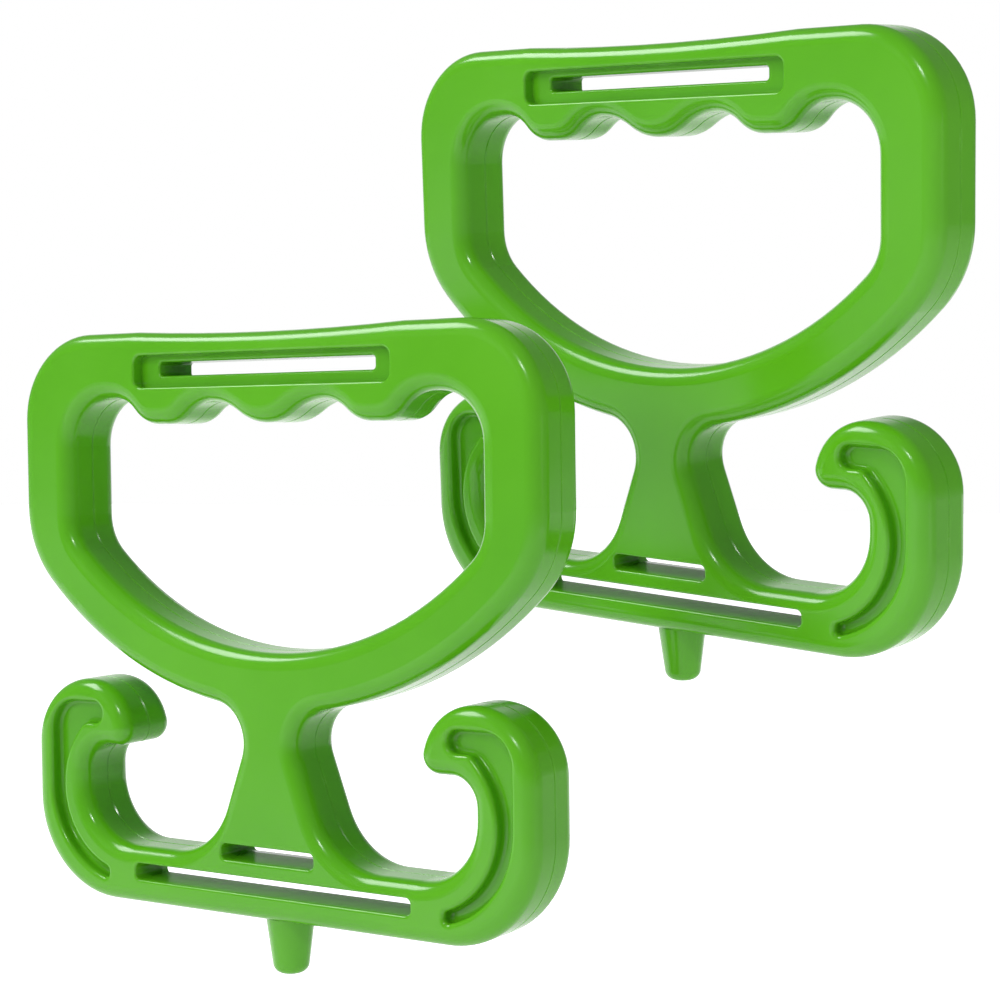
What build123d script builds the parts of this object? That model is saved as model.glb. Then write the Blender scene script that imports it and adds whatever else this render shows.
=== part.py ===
"""Pair of moulded plastic carry handles with a finger grip, two bag hooks and a centre peg."""
import os
from math import sqrt

from build123d import *

os.makedirs("parts", exist_ok=True)

# Frame: X across the handle, Y through its thickness (face toward -Y), Z up.
# The origin is the middle of the front handle's grip bar, on the seam plane.

# Thickness and mouldings
half_depth = 6.8            # face to seam plane
edge_radius = 3.0           # rounding of every outside face edge
seam_chamfer = 0.2          # each shell's share of the V groove at the seam
side_wall = 2.6             # wall between the outside and the hollow core
face_wall = 2.6             # wall behind the face
hook_floor = 4.2            # thicker wall behind the grooved hook faces
grip_solid = 21.0           # the grip is solid down to this far below the loop top
bar_solid = 21.5            # the bar is solid up to this far above its underside

# Hand loop
loop_half_width = 58.3
loop_top = 6.7
saddle_half = 30.0          # the top edge dips between these two points
saddle_dip = 0.8
loop_top_radius = 16.0
loop_side_radius = 20.0
loop_base_radius = 74.0
loop_bottom = -61.7

# Hand opening and finger grip
open_half_width = 46.2
open_bottom = -51.2
open_base_radius = 63.0
open_low_radius = 9.0
open_top_radius = 9.0
finger_pitch = 25.4
finger_crest = -10.3        # lowest point of the ridges between fingers
finger_hollow = -6.3        # highest point of the hollows under the grip
finger_end = -5.3           # highest point of the two end hollows
crest_share = 0.46          # part of each S curve taken by the ridge arc
crest_flat = 2.4            # flat on the inner side of the two outer ridges

# Stem
stem_neck_half = 3.2
stem_foot_half = 13.6
stem_neck_radius = 7.0
stem_foot_radius = 14.0

# Bar and hooks
bar_top = -88.7
bar_bottom = -99.2
hook_half_width = 56.3
hook_top = -58.1
hook_tip = 32.1
hook_inside = 43.9
hook_ceiling = -70.2
hook_nose_radius = 10.4
hook_crown_radius = 12.5
hook_tip_lean = 3.1         # the tip slopes back this much over its height
hook_tip_radius = 3.3
hook_throat_radius = 5.0
hook_seat_radius = 11.5
hook_heel_radius = 18.5

# Groove in each hook face
groove_depth = 2.5
groove_outer = 51.8
groove_top = -62.1
groove_under_top = -66.2
groove_lower_end = 38.0
groove_crown_radius = 5.5
groove_tip = 39.1
groove_inner_arc = (33.3, -78.1, 15.7)      # centre x, z and radius of the side near the bag
groove_outer_arc = (34.4, -78.2, 17.4)
groove_nose_radius = 2.0
groove_foot_radius = 0.9

# Slots
slot_draft = 4.0            # slots are narrowest at the seam and open out to both faces
slot_corner = 0.6
# (half length, bottom, top) on the seam plane; the back ones are longer and reach lower
face_slots = [(30.7, -94.15, -91.95), (10.0, -88.4, -86.35)]
back_slots = [(34.6, -95.7, -91.95), (13.2, -89.2, -86.35)]
strap_middle = -0.4         # the strap slot sits just off the middle of the grip
strap_recess = (28.9, -3.6, 2.3, 1.6)       # half length, bottom, top, corner radius
strap_recess_depth = 2.2
strap_slot = (24.4, -1.5, 1.0, 0.7)
slot_rounding = 0.5
groove_rounding = 0.9
groove_floor_rounding = 0.8
recess_rounding = 0.5
strap_rounding = 0.5

# Peg under the bar
peg_root_radius = 4.45
peg_end_radius = 3.1
peg_length = 10.2
peg_end_rounding = 1.9
peg_neck_radius = 3.0
peg_head_radius = 4.6
peg_neck_top = -98.2
peg_head_top = -96.9
peg_clearance = 0.1

# Locating pins between the shells
pin_radius = 1.5
pin_length = 3.0
pin_clearance = 0.1
pin_lead_in = 0.4
pin_places = [(-38.0, 0.0), (38.0, 0.0), (-44.0, -88.5), (44.0, -88.5), (0.0, -80.5)]

# Where the second handle hangs in the pair
rear_place = Location((59.8, 37.1, 49.8), (6.6, 3.1, -10.1))


def slot_outline(half_length, z_low, z_high, corner, middle=0):
    """Slot outline with rounded corners."""
    with BuildSketch() as slot:
        with Locations((middle, (z_low + z_high) / 2)):
            RectangleRounded(2 * half_length, z_high - z_low, corner)
    return slot.sketch


def strap_outline(sizes):
    """Outline of the strap slot or of the recess around it."""
    half_length, z_low, z_high, corner = sizes
    return slot_outline(half_length, z_low, z_high, corner, strap_middle)


def rounded_polygon(corners):
    """Closed outline through (x, z, corner radius) points."""
    with BuildSketch() as sketch:
        with BuildLine():
            Polyline([(x, z) for x, z, _ in corners], close=True)
        make_face()
        for x, z, radius in corners:
            if radius:
                fillet(sketch.vertices().sort_by_distance((x, z))[0], radius)
    return sketch.sketch


def loop_outline():
    """Outside of the hand loop, with a shallow saddle along the top."""
    with BuildSketch() as sketch:
        side_foot = loop_bottom + loop_base_radius
        side_foot -= sqrt(loop_base_radius**2 - loop_half_width**2)
        with BuildLine():
            ThreePointArc(
                (-saddle_half, loop_top), (0, loop_top - saddle_dip), (saddle_half, loop_top)
            )
            Polyline(
                (saddle_half, loop_top), (loop_half_width, loop_top), (loop_half_width, side_foot)
            )
            ThreePointArc(
                (loop_half_width, side_foot), (0, loop_bottom), (-loop_half_width, side_foot)
            )
            Polyline(
                (-loop_half_width, side_foot), (-loop_half_width, loop_top), (-saddle_half, loop_top)
            )
        make_face()
        for side in (-loop_half_width, loop_half_width):
            fillet(sketch.vertices().sort_by_distance((side, loop_top))[0], loop_top_radius)
            fillet(sketch.vertices().sort_by_distance((side, side_foot))[0], loop_side_radius)
    return sketch.sketch


def hand_opening():
    """Hole for the hand: finger ridges above, a wide arc below."""
    foot = open_bottom + open_base_radius
    foot -= sqrt(open_base_radius**2 - open_half_width**2)
    end_hollow = open_half_width - open_top_radius
    inner_hollow = (finger_pitch / 2, finger_hollow)
    outer_ridge = [(finger_pitch - crest_flat, finger_crest), (finger_pitch, finger_crest)]
    curves = [
        ((0, finger_crest), inner_hollow, crest_share),
        (inner_hollow, outer_ridge[0], 1 - crest_share),
        (outer_ridge[1], (end_hollow - 1.0, finger_end), crest_share),
    ]
    with BuildSketch() as sketch:
        with BuildLine() as line:
            for start, end, share in curves:
                bend = (
                    start[0] + share * (end[0] - start[0]),
                    start[1] + share * (end[1] - start[1]),
                )
                first = TangentArc(start, bend, tangent=(1, 0))
                TangentArc(bend, end, tangent=first % 1)
            Line(*outer_ridge)
            Line((end_hollow - 1.0, finger_end), (end_hollow, finger_end))
            corner = RadiusArc(
                (end_hollow, finger_end),
                (open_half_width, finger_end - open_top_radius),
                open_top_radius,
            )
            Line(corner @ 1, (open_half_width, foot))
            RadiusArc((open_half_width, foot), (0, open_bottom), open_base_radius)
            mirror(about=Plane.YZ)
        make_face()
        corners = [v for v in sketch.vertices() if abs(v.Y - foot) < 0.01]
        fillet(corners, open_low_radius)
    return sketch.sketch


def lower_outline():
    """Stem, cross bar and the two upturned hooks."""
    right = [
        (stem_neck_half, loop_bottom + 1.0, 0),
        (stem_foot_half, bar_top, stem_foot_radius),
        (hook_inside, bar_top, hook_seat_radius),
        (hook_inside, hook_ceiling, hook_throat_radius),
        (hook_tip, hook_ceiling, hook_tip_radius),
        (hook_tip + hook_tip_lean, hook_top, hook_nose_radius),
        (hook_half_width, hook_top, hook_crown_radius),
        (hook_half_width, bar_bottom, hook_heel_radius),
    ]
    left = [(-x, z, radius) for x, z, radius in reversed(right)]
    return rounded_polygon(right + left)


def handle_outline():
    """Whole flat shape of one handle."""
    with BuildSketch() as sketch:
        add(loop_outline())
        add(lower_outline())
        joint = [
            v for v in sketch.vertices()
            if abs(v.X) < stem_neck_half + 2 and abs(v.Y - loop_bottom) < 1.0
        ]
        fillet(joint, stem_neck_radius)
        add(hand_opening(), mode=Mode.SUBTRACT)
    return sketch.sketch


def below(arc, x):
    """Point at x on the lower half of an arc given by its centre and radius."""
    return (x, arc[1] - sqrt(arc[2] ** 2 - (x - arc[0]) ** 2))


def groove_outline():
    """Channel that follows each hook from its tip round to the bar, narrowing as it goes."""
    inner_foot = below(groove_inner_arc, groove_lower_end)
    outer_foot = below(groove_outer_arc, groove_lower_end)
    inner_x, inner_z, inner_radius = groove_inner_arc
    rise = groove_under_top - inner_z
    nose = (inner_x + sqrt(inner_radius**2 - rise**2), groove_under_top)
    tip_radius = (groove_top - groove_under_top) / 2
    tip_x = groove_tip + tip_radius
    tip = (groove_tip, groove_top - tip_radius)
    outer_side = (groove_outer, groove_outer_arc[1])
    crown_foot = (groove_outer, groove_top - groove_crown_radius)
    crown_head = (groove_outer - groove_crown_radius, groove_top)
    with BuildSketch() as sketch:
        with BuildLine():
            RadiusArc(outer_foot, outer_side, -groove_outer_arc[2])
            Line(outer_side, crown_foot)
            RadiusArc(crown_foot, crown_head, -groove_crown_radius)
            Line(crown_head, (tip_x, groove_top))
            ThreePointArc((tip_x, groove_top), tip, (tip_x, groove_under_top))
            Line((tip_x, groove_under_top), nose)
            ThreePointArc(nose, (inner_x + inner_radius, inner_z), inner_foot)
            Line(inner_foot, outer_foot)
        make_face()
        rounds = (
            (nose, groove_nose_radius),
            (inner_foot, groove_foot_radius),
            (outer_foot, groove_foot_radius),
        )
        for corner, radius in rounds:
            fillet(sketch.vertices().sort_by_distance(corner)[0], radius)
        mirror(about=Plane.YZ)
    return sketch.sketch


def core_outline(hooks):
    """Hollow core of the hook heads, or of the loop sides, loop base and stem."""
    hook_zone = 2 * (hook_half_width - 28.0)
    with BuildSketch() as sketch:
        add(handle_outline())
        offset(amount=-side_wall, kind=Kind.INTERSECTION)
        with Locations((0, loop_top)):
            Rectangle(3 * loop_half_width, 2 * grip_solid, mode=Mode.SUBTRACT)
        with Locations((0, bar_bottom)):
            Rectangle(3 * loop_half_width, 2 * bar_solid, mode=Mode.SUBTRACT)
        corners = [(-hook_half_width, bar_bottom), (hook_half_width, bar_bottom)]
        with Locations(*corners):
            head_height = 2 * (hook_top - bar_bottom)
            keep = Mode.INTERSECT if hooks else Mode.SUBTRACT
            Rectangle(hook_zone, head_height, mode=keep)
    return sketch.sketch


def parallel_plane(y):
    """Drawing plane parallel to the face at depth y, looking out through the face."""
    return Plane.XZ.offset(-y)


def mouth_rims(tool):
    """Outlines of the pockets where they meet the plane of the face."""
    near_face = (-half_depth - 0.1, -half_depth + 0.1)
    mouths = tool.faces().filter_by_position(Axis.Y, *near_face)
    return mouths.sort_by(SortBy.AREA)[-1].inner_wires()


def strap_rim(tool):
    """Outline of the strap slot where it meets the bottom of its recess."""
    floor_y = strap_recess_depth - half_depth
    floors = tool.faces().filter_by_position(Axis.Y, floor_y - 0.1, floor_y + 0.1)
    return floors.sort_by(SortBy.AREA)[-1].inner_wires()[0]


# Which rims, counted outward from the middle of the grip, take which rounding
rim_roundings = [(0, 1, recess_rounding), (1, 3, groove_rounding), (3, 5, slot_rounding)]


def pocket_tool(slots):
    """Everything taken out of the face, flaring where it meets the plane of the face."""
    face_y = -half_depth
    with BuildPart() as tool:
        with Locations((0, face_y - 1, (loop_top + bar_bottom) / 2)):
            Box(2 * hook_half_width, 2, loop_top - bar_bottom)
        with BuildSketch(parallel_plane(face_y + groove_depth)):
            add(groove_outline())
        extrude(amount=groove_depth)
        fillet(tool.faces().sort_by(Axis.Y)[-2:].edges(), groove_floor_rounding)
        with BuildSketch(parallel_plane(face_y + strap_recess_depth)):
            add(strap_outline(strap_recess))
        extrude(amount=strap_recess_depth)
        with BuildSketch(Plane.XZ):
            add(strap_outline(strap_slot))
        extrude(amount=half_depth)
        fillet(strap_rim(tool).edges(), strap_rounding)
        for half_length, bottom, top in slots:
            with BuildSketch(Plane.XZ):
                add(slot_outline(half_length, bottom, top, slot_corner))
            extrude(amount=half_depth, taper=-slot_draft)
        for first, last, rounding in rim_roundings:
            rims = mouth_rims(tool).sort_by_distance((0, face_y, 0))
            fillet(rims[first:last].edges(), rounding)
        split(bisect_by=parallel_plane(face_y), keep=Keep.BOTTOM)
    return tool.part


def shell_half(slots):
    """Half of one handle on the face side of the seam plane."""
    with BuildPart() as shell:
        with BuildSketch(Plane.XZ):
            add(handle_outline())
        extrude(amount=half_depth)
        fillet(shell.faces().sort_by(Axis.Y)[0].edges(), edge_radius)
        chamfer(shell.faces().sort_by(Axis.Y)[-1].edges(), seam_chamfer)

        for hooks, floor in ((False, face_wall), (True, hook_floor)):
            with BuildSketch(Plane.XZ):
                add(core_outline(hooks))
            extrude(amount=half_depth - floor, mode=Mode.SUBTRACT)

        add(pocket_tool(slots), mode=Mode.SUBTRACT)

        bore = peg_neck_radius + peg_clearance
        pocket = peg_head_radius + peg_clearance
        with Locations((0, 0, bar_bottom - 1)):
            base = (Align.CENTER, Align.CENTER, Align.MIN)
            Cylinder(bore, peg_neck_top - bar_bottom + 2, align=base, mode=Mode.SUBTRACT)
        with Locations((0, 0, peg_neck_top)):
            Cylinder(pocket, peg_head_top - peg_neck_top, align=base, mode=Mode.SUBTRACT)
    return shell.part


def carry(part):
    """Copy of a front handle piece at its place in the rear handle."""
    return part.moved(rear_place)


face_half = shell_half(face_slots)
back_half = shell_half(back_slots)

with BuildPart() as front_face_shell:
    add(face_half)
    with BuildSketch(Plane.XZ):
        with Locations(*pin_places):
            Circle(pin_radius + pin_clearance)
    extrude(amount=pin_length + 2 * pin_clearance, mode=Mode.SUBTRACT)

with BuildPart() as front_back_shell:
    add(mirror(back_half, about=Plane.XZ))
    with BuildSketch(Plane.XZ):
        with Locations(*pin_places):
            Circle(pin_radius)
    extrude(amount=pin_length)
    chamfer(front_back_shell.faces().sort_by(Axis.Y)[0:5].edges(), pin_lead_in)

with BuildPart() as front_peg:
    peg_tip = bar_bottom - peg_length
    with BuildSketch(Plane.XZ):
        with BuildLine():
            Polyline(
                (0, peg_head_top),
                (peg_head_radius, peg_head_top),
                (peg_head_radius, peg_neck_top),
                (peg_neck_radius, peg_neck_top),
                (peg_neck_radius, bar_bottom),
                (peg_root_radius, bar_bottom),
                (peg_end_radius, peg_tip),
                (0, peg_tip),
                close=True,
            )
        make_face()
    revolve(axis=Axis.Z)
    fillet(front_peg.edges().sort_by(Axis.Z)[0], peg_end_rounding)

with BuildPart() as rear_face_shell:
    add(carry(front_face_shell.part))

with BuildPart() as rear_back_shell:
    add(carry(front_back_shell.part))

with BuildPart() as rear_peg:
    add(carry(front_peg.part))

pieces = {
    "front_handle_face_shell": front_face_shell,
    "front_handle_back_shell": front_back_shell,
    "front_handle_peg": front_peg,
    "rear_handle_face_shell": rear_face_shell,
    "rear_handle_back_shell": rear_back_shell,
    "rear_handle_peg": rear_peg,
}
for piece_name, piece in pieces.items():
    piece.part.label = piece_name
    export_step(piece.part, f"parts/{piece_name}.step")
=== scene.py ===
from math import radians

import bpy
from mathutils import Matrix, Vector

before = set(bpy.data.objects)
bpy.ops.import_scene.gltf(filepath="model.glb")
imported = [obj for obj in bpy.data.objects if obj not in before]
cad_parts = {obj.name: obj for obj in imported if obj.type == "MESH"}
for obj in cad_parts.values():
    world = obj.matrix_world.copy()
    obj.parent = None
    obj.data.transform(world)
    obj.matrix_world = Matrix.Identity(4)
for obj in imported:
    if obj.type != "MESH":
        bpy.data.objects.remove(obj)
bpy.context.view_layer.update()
scene = bpy.context.scene
scene.view_settings.view_transform = "Standard"
scene.view_settings.look = "None"
scene.view_settings.exposure = 0.0

# Camera: right of the handle's front, almost level, close enough for strong perspective
CAMERA_PLACE = (0.24365, -0.30403, -0.01139)
CAMERA_TURN = 33.0
CAMERA_TILT = 88.03
CAMERA_ROLL = -0.78
CAMERA_LENS = 77.96
CAMERA_SENSOR = 36.0
CAMERA_CLIP_START = 0.01

# World: a white screen behind the object in a dimmer room that brightens below the horizon
WHITE = (1.0, 1.0, 1.0, 1.0)
SCREEN_DIRECTION = (-0.544, 0.838, -0.034)
SCREEN_EDGE = (0.70, 0.94)
SCREEN_STRENGTH = (0.0, 1.0)
DOWN = (0.0, 0.0, -1.0)
ROOM_EDGE = (-0.02, 0.22)
ROOM_STRENGTH = (0.22, 0.9)

# Floor: white beyond the object, dimmer under it and in front of it
FLOOR_HEIGHT = -0.30
FLOOR_REACH = 6.0
FLOOR_COLOUR = (0.9, 0.9, 0.9, 1.0)
FLOOR_ROUGHNESS = 0.9
FLOOR_GLOW_DIRECTION = (-0.799, 0.602, 0.0)
FLOOR_GLOW_EDGE = (0.15, 0.55)
FLOOR_GLOW_STRENGTH = (0.28, 1.0)

# Lights: name, place, point they face, size, watts, and whether reflections show them
OBJECT_MIDDLE = (0.03, 0.0, 0.0)
HOOK_LEVEL = (0.03, 0.0, -0.05)
LIGHTS = [
    ("top_strip", (-0.60, -0.35, 0.85), OBJECT_MIDDLE, (0.6, 0.4), 6.5, True),
    ("side_lamp", (0.45, -0.75, 0.60), OBJECT_MIDDLE, (0.10, 0.10), 1.5, True),
    ("front_fill", (-0.5, -1.2, 0.5), HOOK_LEVEL, (0.7, 0.7), 8.2, False),
    ("right_fill", (1.3, -0.05, 0.0), OBJECT_MIDDLE, (0.25, 0.25), 3.0, False),
]

# Plastic: the two tones of the pigment, the paler green painted on sharp edges as a painted edge
# highlight, and the surface
DEEP_GREEN = (0.086, 0.380, 0.007, 1.0)
LIGHT_GREEN = (0.103, 0.420, 0.010, 1.0)
# paler green painted on sharp edges: a painted edge highlight
PAINTED_EDGE_HIGHLIGHT_GREEN = (0.20, 0.52, 0.06, 1.0)
PLASTIC_IOR = 1.5
EDGE_RADIUS = 0.0010
EDGE_SAMPLES = 4
BUMP_STRENGTH = 0.18
BUMP_DISTANCE = 0.0003


def add_camera():
    data = bpy.data.cameras.new("camera")
    data.sensor_width = CAMERA_SENSOR
    data.lens = CAMERA_LENS
    data.clip_start = CAMERA_CLIP_START
    camera = bpy.data.objects.new("camera", data)
    scene.collection.objects.link(camera)
    turn = Matrix.Rotation(radians(CAMERA_TURN), 4, "Z")
    tilt = Matrix.Rotation(radians(CAMERA_TILT), 4, "X")
    roll = Matrix.Rotation(radians(CAMERA_ROLL), 4, "Z")
    camera.matrix_world = Matrix.Translation(CAMERA_PLACE) @ turn @ tilt @ roll
    scene.camera = camera


def remap(tree, value, source, target, smooth=False):
    """Value carried from the source range to the target range."""
    node = tree.nodes.new("ShaderNodeMapRange")
    if smooth:
        node.interpolation_type = "SMOOTHSTEP"
    node.inputs["From Min"].default_value = source[0]
    node.inputs["From Max"].default_value = source[1]
    node.inputs["To Min"].default_value = target[0]
    node.inputs["To Max"].default_value = target[1]
    tree.links.new(value, node.inputs["Value"])
    return node.outputs["Result"]


def along(tree, vector, direction):
    """How far a vector reaches along a fixed direction."""
    node = tree.nodes.new("ShaderNodeVectorMath")
    node.operation = "DOT_PRODUCT"
    node.inputs[1].default_value = direction
    tree.links.new(vector, node.inputs[0])
    return node.outputs["Value"]


def combine(tree, operation, first, second):
    """Two values added, multiplied or compared."""
    node = tree.nodes.new("ShaderNodeMath")
    node.operation = operation
    tree.links.new(first, node.inputs[0])
    tree.links.new(second, node.inputs[1])
    return node.outputs["Value"]


def add_world():
    world = bpy.data.worlds.new("studio")
    world.use_nodes = True
    tree = world.node_tree
    view = tree.nodes.new("ShaderNodeTexCoord").outputs["Generated"]
    toward_screen = along(tree, view, SCREEN_DIRECTION)
    toward_floor = along(tree, view, DOWN)
    screen = remap(tree, toward_screen, SCREEN_EDGE, SCREEN_STRENGTH, smooth=True)
    room = remap(tree, toward_floor, ROOM_EDGE, ROOM_STRENGTH, smooth=True)
    back = tree.nodes["Background"]
    back.inputs["Color"].default_value = WHITE
    tree.links.new(combine(tree, "MAXIMUM", screen, room), back.inputs["Strength"])
    scene.world = world


def add_light(name, place, aim, size, power, mirrored):
    data = bpy.data.lights.new(name, "AREA")
    data.shape = "RECTANGLE"
    data.size = size[0]
    data.size_y = size[1]
    data.energy = power
    light = bpy.data.objects.new(name, data)
    light.location = place
    direction = Vector(aim) - Vector(place)
    light.rotation_euler = direction.to_track_quat("-Z", "Y").to_euler()
    light.visible_camera = False
    light.visible_glossy = mirrored
    scene.collection.objects.link(light)


def add_floor():
    mesh = bpy.data.meshes.new("floor")
    corners = [(-1, -1), (1, -1), (1, 1), (-1, 1)]
    places = [(x * FLOOR_REACH, y * FLOOR_REACH, FLOOR_HEIGHT) for x, y in corners]
    mesh.from_pydata(places, [], [(0, 1, 2, 3)])
    floor = bpy.data.objects.new("floor", mesh)
    scene.collection.objects.link(floor)
    mat = bpy.data.materials.new("pale_floor")
    mat.use_nodes = True
    tree = mat.node_tree
    shader = tree.nodes["Principled BSDF"]
    shader.inputs["Base Color"].default_value = FLOOR_COLOUR
    shader.inputs["Roughness"].default_value = FLOOR_ROUGHNESS
    shader.inputs["Emission Color"].default_value = WHITE
    place = tree.nodes.new("ShaderNodeTexCoord").outputs["Object"]
    beyond = along(tree, place, FLOOR_GLOW_DIRECTION)
    glow = remap(tree, beyond, FLOOR_GLOW_EDGE, FLOOR_GLOW_STRENGTH, smooth=True)
    tree.links.new(glow, shader.inputs["Emission Strength"])
    mesh.materials.append(mat)


def green_plastic():
    mat = bpy.data.materials.new("green_plastic")
    mat.use_nodes = True
    tree = mat.node_tree
    shader = tree.nodes["Principled BSDF"]
    shader.inputs["IOR"].default_value = PLASTIC_IOR
    link = tree.links.new
    place = tree.nodes.new("ShaderNodeTexCoord").outputs["Object"]

    def noise(scale, detail, stretch=(1.0, 1.0, 1.0)):
        spread = tree.nodes.new("ShaderNodeMapping")
        spread.inputs["Scale"].default_value = stretch
        node = tree.nodes.new("ShaderNodeTexNoise")
        node.inputs["Scale"].default_value = scale
        node.inputs["Detail"].default_value = detail
        link(place, spread.inputs["Vector"])
        link(spread.outputs["Vector"], node.inputs["Vector"])
        return node.outputs["Fac"]

    # broad cloudy tint of the pigment
    tint = tree.nodes.new("ShaderNodeValToRGB")
    tint.color_ramp.elements[0].position = 0.3
    tint.color_ramp.elements[0].color = DEEP_GREEN
    tint.color_ramp.elements[1].position = 0.7
    tint.color_ramp.elements[1].color = LIGHT_GREEN
    link(noise(scale=28.0, detail=3.0), tint.inputs["Fac"])

    # painted edge highlight: paler green where the surface turns sharply, in patches; the same
    # mask also dulls the gloss there as edge wear
    turned = tree.nodes.new("ShaderNodeBevel")
    turned.samples = EDGE_SAMPLES
    turned.inputs["Radius"].default_value = EDGE_RADIUS
    facing = tree.nodes.new("ShaderNodeNewGeometry")
    bend = tree.nodes.new("ShaderNodeVectorMath")
    bend.operation = "DOT_PRODUCT"
    link(turned.outputs["Normal"], bend.inputs[0])
    link(facing.outputs["Normal"], bend.inputs[1])
    corners = remap(tree, bend.outputs["Value"], source=(0.99, 0.88), target=(0.0, 1.0))
    patches = remap(tree, noise(scale=130.0, detail=4.0), source=(0.42, 0.62), target=(0.0, 1.0))
    edge_highlight_and_wear_mask = combine(tree, "MULTIPLY", corners, patches)
    # painted edge highlight: paler green mixed into the pigment on sharp edges
    edge_highlight_mix = tree.nodes.new("ShaderNodeMix")
    edge_highlight_mix.data_type = "RGBA"
    link(remap(tree, edge_highlight_and_wear_mask, source=(0.0, 1.0), target=(0.0, 0.35)), edge_highlight_mix.inputs["Factor"])
    link(tint.outputs["Color"], edge_highlight_mix.inputs["A"])
    edge_highlight_mix.inputs["B"].default_value = PAINTED_EDGE_HIGHLIGHT_GREEN
    link(edge_highlight_mix.outputs["Result"], shader.inputs["Base Color"])

    # gloss: soft haze from handling, fine rubbed streaks across it, duller worn edges
    haze = remap(tree, noise(scale=55.0, detail=5.0), source=(0.3, 0.7), target=(0.15, 0.21))
    streaks = noise(scale=240.0, detail=3.0, stretch=(0.25, 1.0, 1.6))
    rubs = remap(tree, streaks, source=(0.62, 0.8), target=(0.0, 0.08))
    dulled = remap(tree, edge_highlight_and_wear_mask, source=(0.0, 1.0), target=(0.0, 0.12))
    rubbed = combine(tree, "ADD", rubs, dulled)
    link(combine(tree, "ADD", haze, rubbed), shader.inputs["Roughness"])

    # slight sink and flow ripple of the moulding, then a fine skin
    sink = remap(tree, noise(scale=75.0, detail=1.0), source=(0.0, 1.0), target=(0.0, 1.0))
    skin = remap(tree, noise(scale=900.0, detail=2.0), source=(0.0, 1.0), target=(0.0, 0.05))
    bump = tree.nodes.new("ShaderNodeBump")
    bump.inputs["Strength"].default_value = BUMP_STRENGTH
    bump.inputs["Distance"].default_value = BUMP_DISTANCE
    link(combine(tree, "ADD", sink, skin), bump.inputs["Height"])
    link(bump.outputs["Normal"], shader.inputs["Normal"])
    return mat


add_camera()
add_world()
add_floor()
for light in LIGHTS:
    add_light(*light)
plastic = green_plastic()
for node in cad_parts.values():
    node.data.materials.clear()
    node.data.materials.append(plastic)
